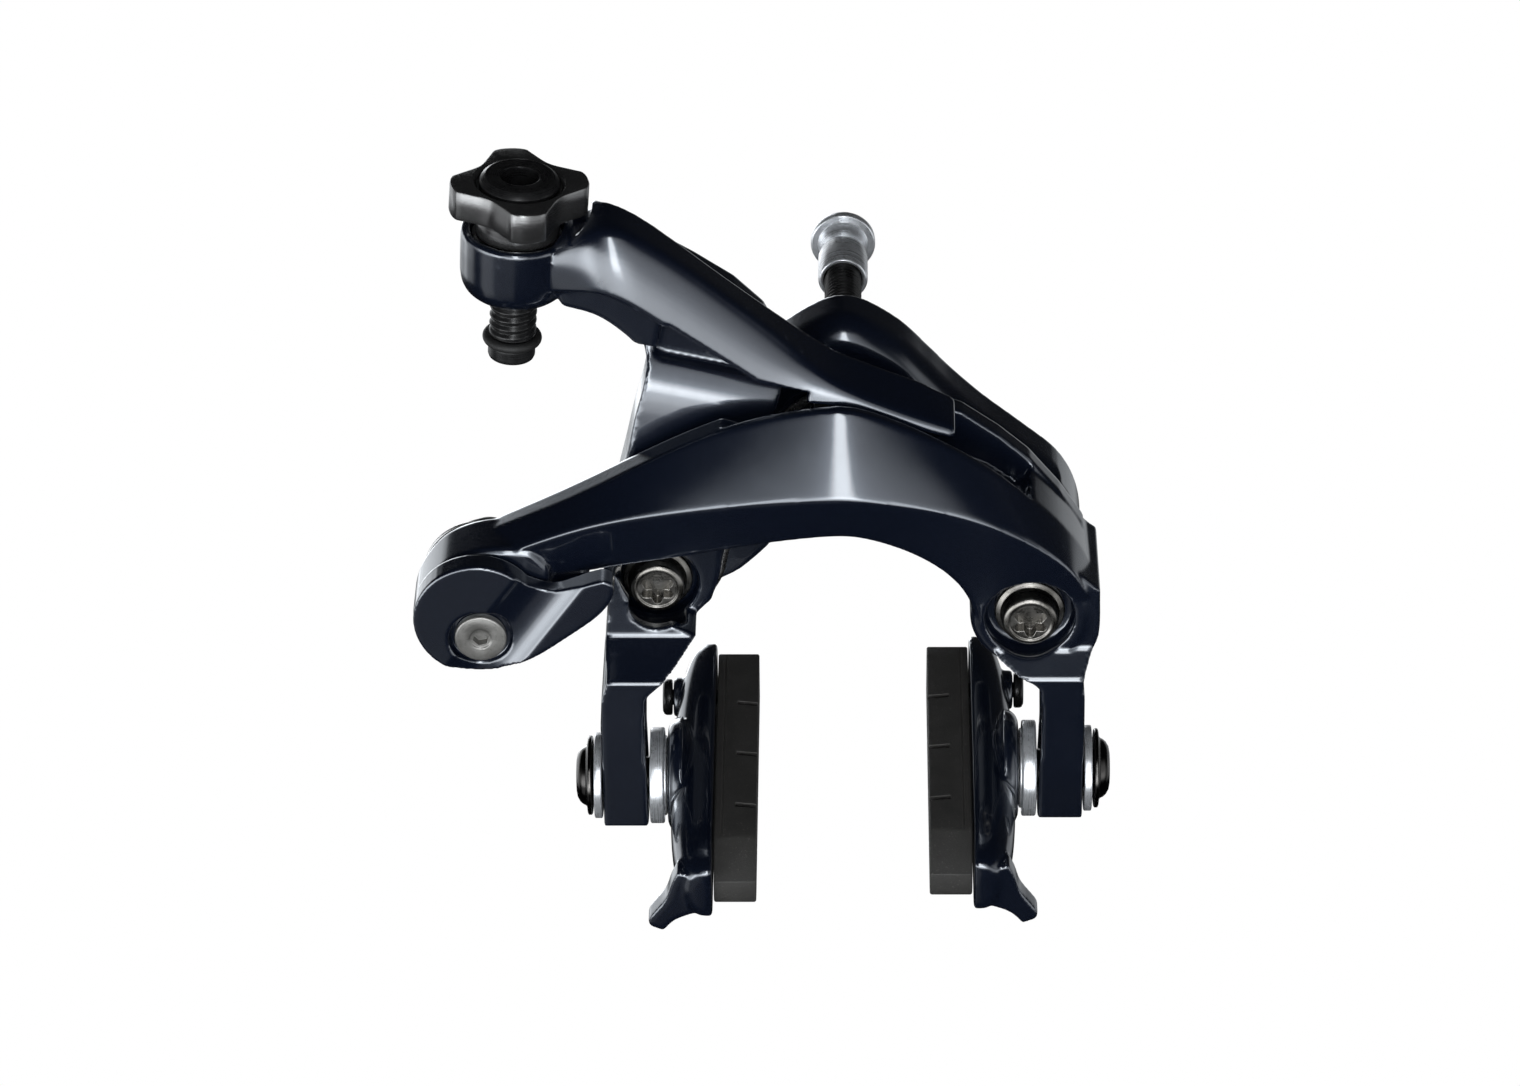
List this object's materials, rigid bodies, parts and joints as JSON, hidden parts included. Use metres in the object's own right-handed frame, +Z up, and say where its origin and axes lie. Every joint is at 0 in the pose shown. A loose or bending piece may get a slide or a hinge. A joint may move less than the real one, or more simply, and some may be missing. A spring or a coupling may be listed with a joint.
{
  "type": "rim brake caliper",
  "caption": "Dual-pivot road bicycle rim brake caliper with a barrel adjuster, quick-release lever and replaceable brake pads.",
  "frame": {"origin": "on the rear face of the mounting washer, which rests on the bicycle frame, 6 mm straight above the axis of the mounting bolt", "axes": "+Y out of the mounting face towards the bicycle frame, along the mounting bolt; +Z up, away from the tyre; +X to the right as seen from the front"},
  "size_m": [0.1073, 0.1092, 0.1105],
  "materials": {
    "arm_paint": "glossy near-black navy paint; forged aluminium underneath is assumed",
    "black_steel": "black oxide",
    "knob_black": "satin black anodised",
    "silver": "polished",
    "nickel": "dark nickel plate",
    "steel": "ground",
    "bronze": "sintered",
    "plastic": "moulded",
    "rubber": "moulded brake compound"
  },
  "bodies": {
    "bridge": {"rear_bridge": "arm_paint", "mounting_bolt": "black_steel", "mounting_washer": "black_steel", "sunk_nut": "silver", "centring_screw": "steel", "left_pivot_bolt": "nickel", "right_pivot_bolt": "nickel", "left_thrust_washer": "bronze", "right_thrust_washer": "bronze", "return_spring": "steel"},
    "front_arm": {"front_arm": "arm_paint", "right_pivot_bush": "bronze", "roller_axle": "steel", "right_spring_holder": "plastic", "qr_wave_washer": "steel"},
    "link_roller": {"link_roller": "steel"},
    "adjuster_arm": {"adjuster_arm": "arm_paint", "left_pivot_bush": "bronze", "cam_pad": "steel", "left_spring_holder": "plastic", "detent_washer": "steel"},
    "barrel_bolt": {"barrel_bolt": "black_steel", "barrel_o_ring": "rubber"},
    "barrel_knob": {"barrel_knob": "knob_black"},
    "qr_lever": {"qr_lever": "arm_paint", "qr_cap_screw": "nickel", "cable_anchor_shaft": "steel"},
    "cable_clamp": {"cable_clamp_washer": "black_steel", "cable_clamp_bolt": "steel"},
    "left_shoe_seat": {"left_outer_washer": "silver", "left_concave_washer": "silver"},
    "left_shoe_swivel": {"left_convex_washer": "silver", "left_shoe_bolt": "black_steel"},
    "left_shoe": {"left_shoe_holder": "arm_paint", "left_brake_pad": "rubber", "left_pad_screw": "black_steel"},
    "right_shoe_seat": {"right_outer_washer": "silver", "right_concave_washer": "silver"},
    "right_shoe_swivel": {"right_convex_washer": "silver", "right_shoe_bolt": "black_steel"},
    "right_shoe": {"right_shoe_holder": "arm_paint", "right_brake_pad": "rubber", "right_pad_screw": "black_steel"}
  },
  "joints": [
    {"name": "front_arm_pivot", "type": "hinge", "parent": "bridge", "child": "front_arm", "pos_m": [0.0287, -0.024, -0.0257], "axis": [0, 1, 0], "range_deg": [-2, 7], "deforming": ["return_spring"]},
    {"name": "adjuster_arm_pivot", "type": "hinge", "parent": "bridge", "child": "adjuster_arm", "pos_m": [-0.0287, -0.018, -0.0257], "axis": [0, 1, 0], "range_deg": [-7, 2]},
    {"name": "link_roller_spin", "type": "hinge", "parent": "front_arm", "child": "link_roller", "pos_m": [0, -0.024, 0.002], "axis": [0, 1, 0], "range_deg": [-113, 33]},
    {"name": "qr_lever_turn", "type": "hinge", "parent": "front_arm", "child": "qr_lever", "pos_m": [-0.0556, -0.032, -0.0215], "axis": [0, 1, 0], "range_deg": [0, 95]},
    {"name": "cable_clamp_swivel", "type": "hinge", "parent": "qr_lever", "child": "cable_clamp", "pos_m": [-0.0552, -0.017, -0.0249], "axis": [0, 1, 0], "range_deg": [-96, 1]},
    {"name": "barrel_knob_turn", "type": "hinge", "parent": "adjuster_arm", "child": "barrel_knob", "pos_m": [-0.0483, -0.017, 0.0425], "axis": [0.0715, 0, 0.9974], "range_deg": [0, 1440]},
    {"name": "barrel_bolt_slide", "type": "slide", "parent": "adjuster_arm", "child": "barrel_bolt", "axis": [0.0715, 0, 0.9974], "range_m": [0, 0.0061]},
    {"name": "left_shoe_reach", "type": "slide", "parent": "adjuster_arm", "child": "left_shoe_seat", "axis": [0, 0, 1], "range_m": [0, 0.01]},
    {"name": "left_shoe_toe_in", "type": "hinge", "parent": "left_shoe_seat", "child": "left_shoe_swivel", "pos_m": [-0.03, -0.031, -0.0563], "axis": [0, 0, 1], "range_deg": [-3, 3]},
    {"name": "left_shoe_pitch", "type": "hinge", "parent": "left_shoe_swivel", "child": "left_shoe", "pos_m": [-0.024, -0.031, -0.0563], "axis": [1, 0, 0], "range_deg": [-6, 6]},
    {"name": "right_shoe_reach", "type": "slide", "parent": "front_arm", "child": "right_shoe_seat", "axis": [0, 0, 1], "range_m": [0, 0.01]},
    {"name": "right_shoe_toe_in", "type": "hinge", "parent": "right_shoe_seat", "child": "right_shoe_swivel", "pos_m": [0.03, -0.031, -0.0549], "axis": [0, 0, 1], "range_deg": [-3, 3]},
    {"name": "right_shoe_pitch", "type": "hinge", "parent": "right_shoe_swivel", "child": "right_shoe", "pos_m": [0.024, -0.031, -0.0549], "axis": [1, 0, 0], "range_deg": [-6, 6]}
  ],
  "couplings": [
    {"joint": "adjuster_arm_pivot", "follows": "front_arm_pivot", "ratio": -1},
    {"joint": "link_roller_spin", "follows": "front_arm_pivot", "ratio": -16},
    {"joint": "cable_clamp_swivel", "follows": "qr_lever_turn", "ratio": -1},
    {"joint": "barrel_bolt_slide", "follows": "barrel_knob_turn", "m_per_rad": 0.00023873}
  ]
}
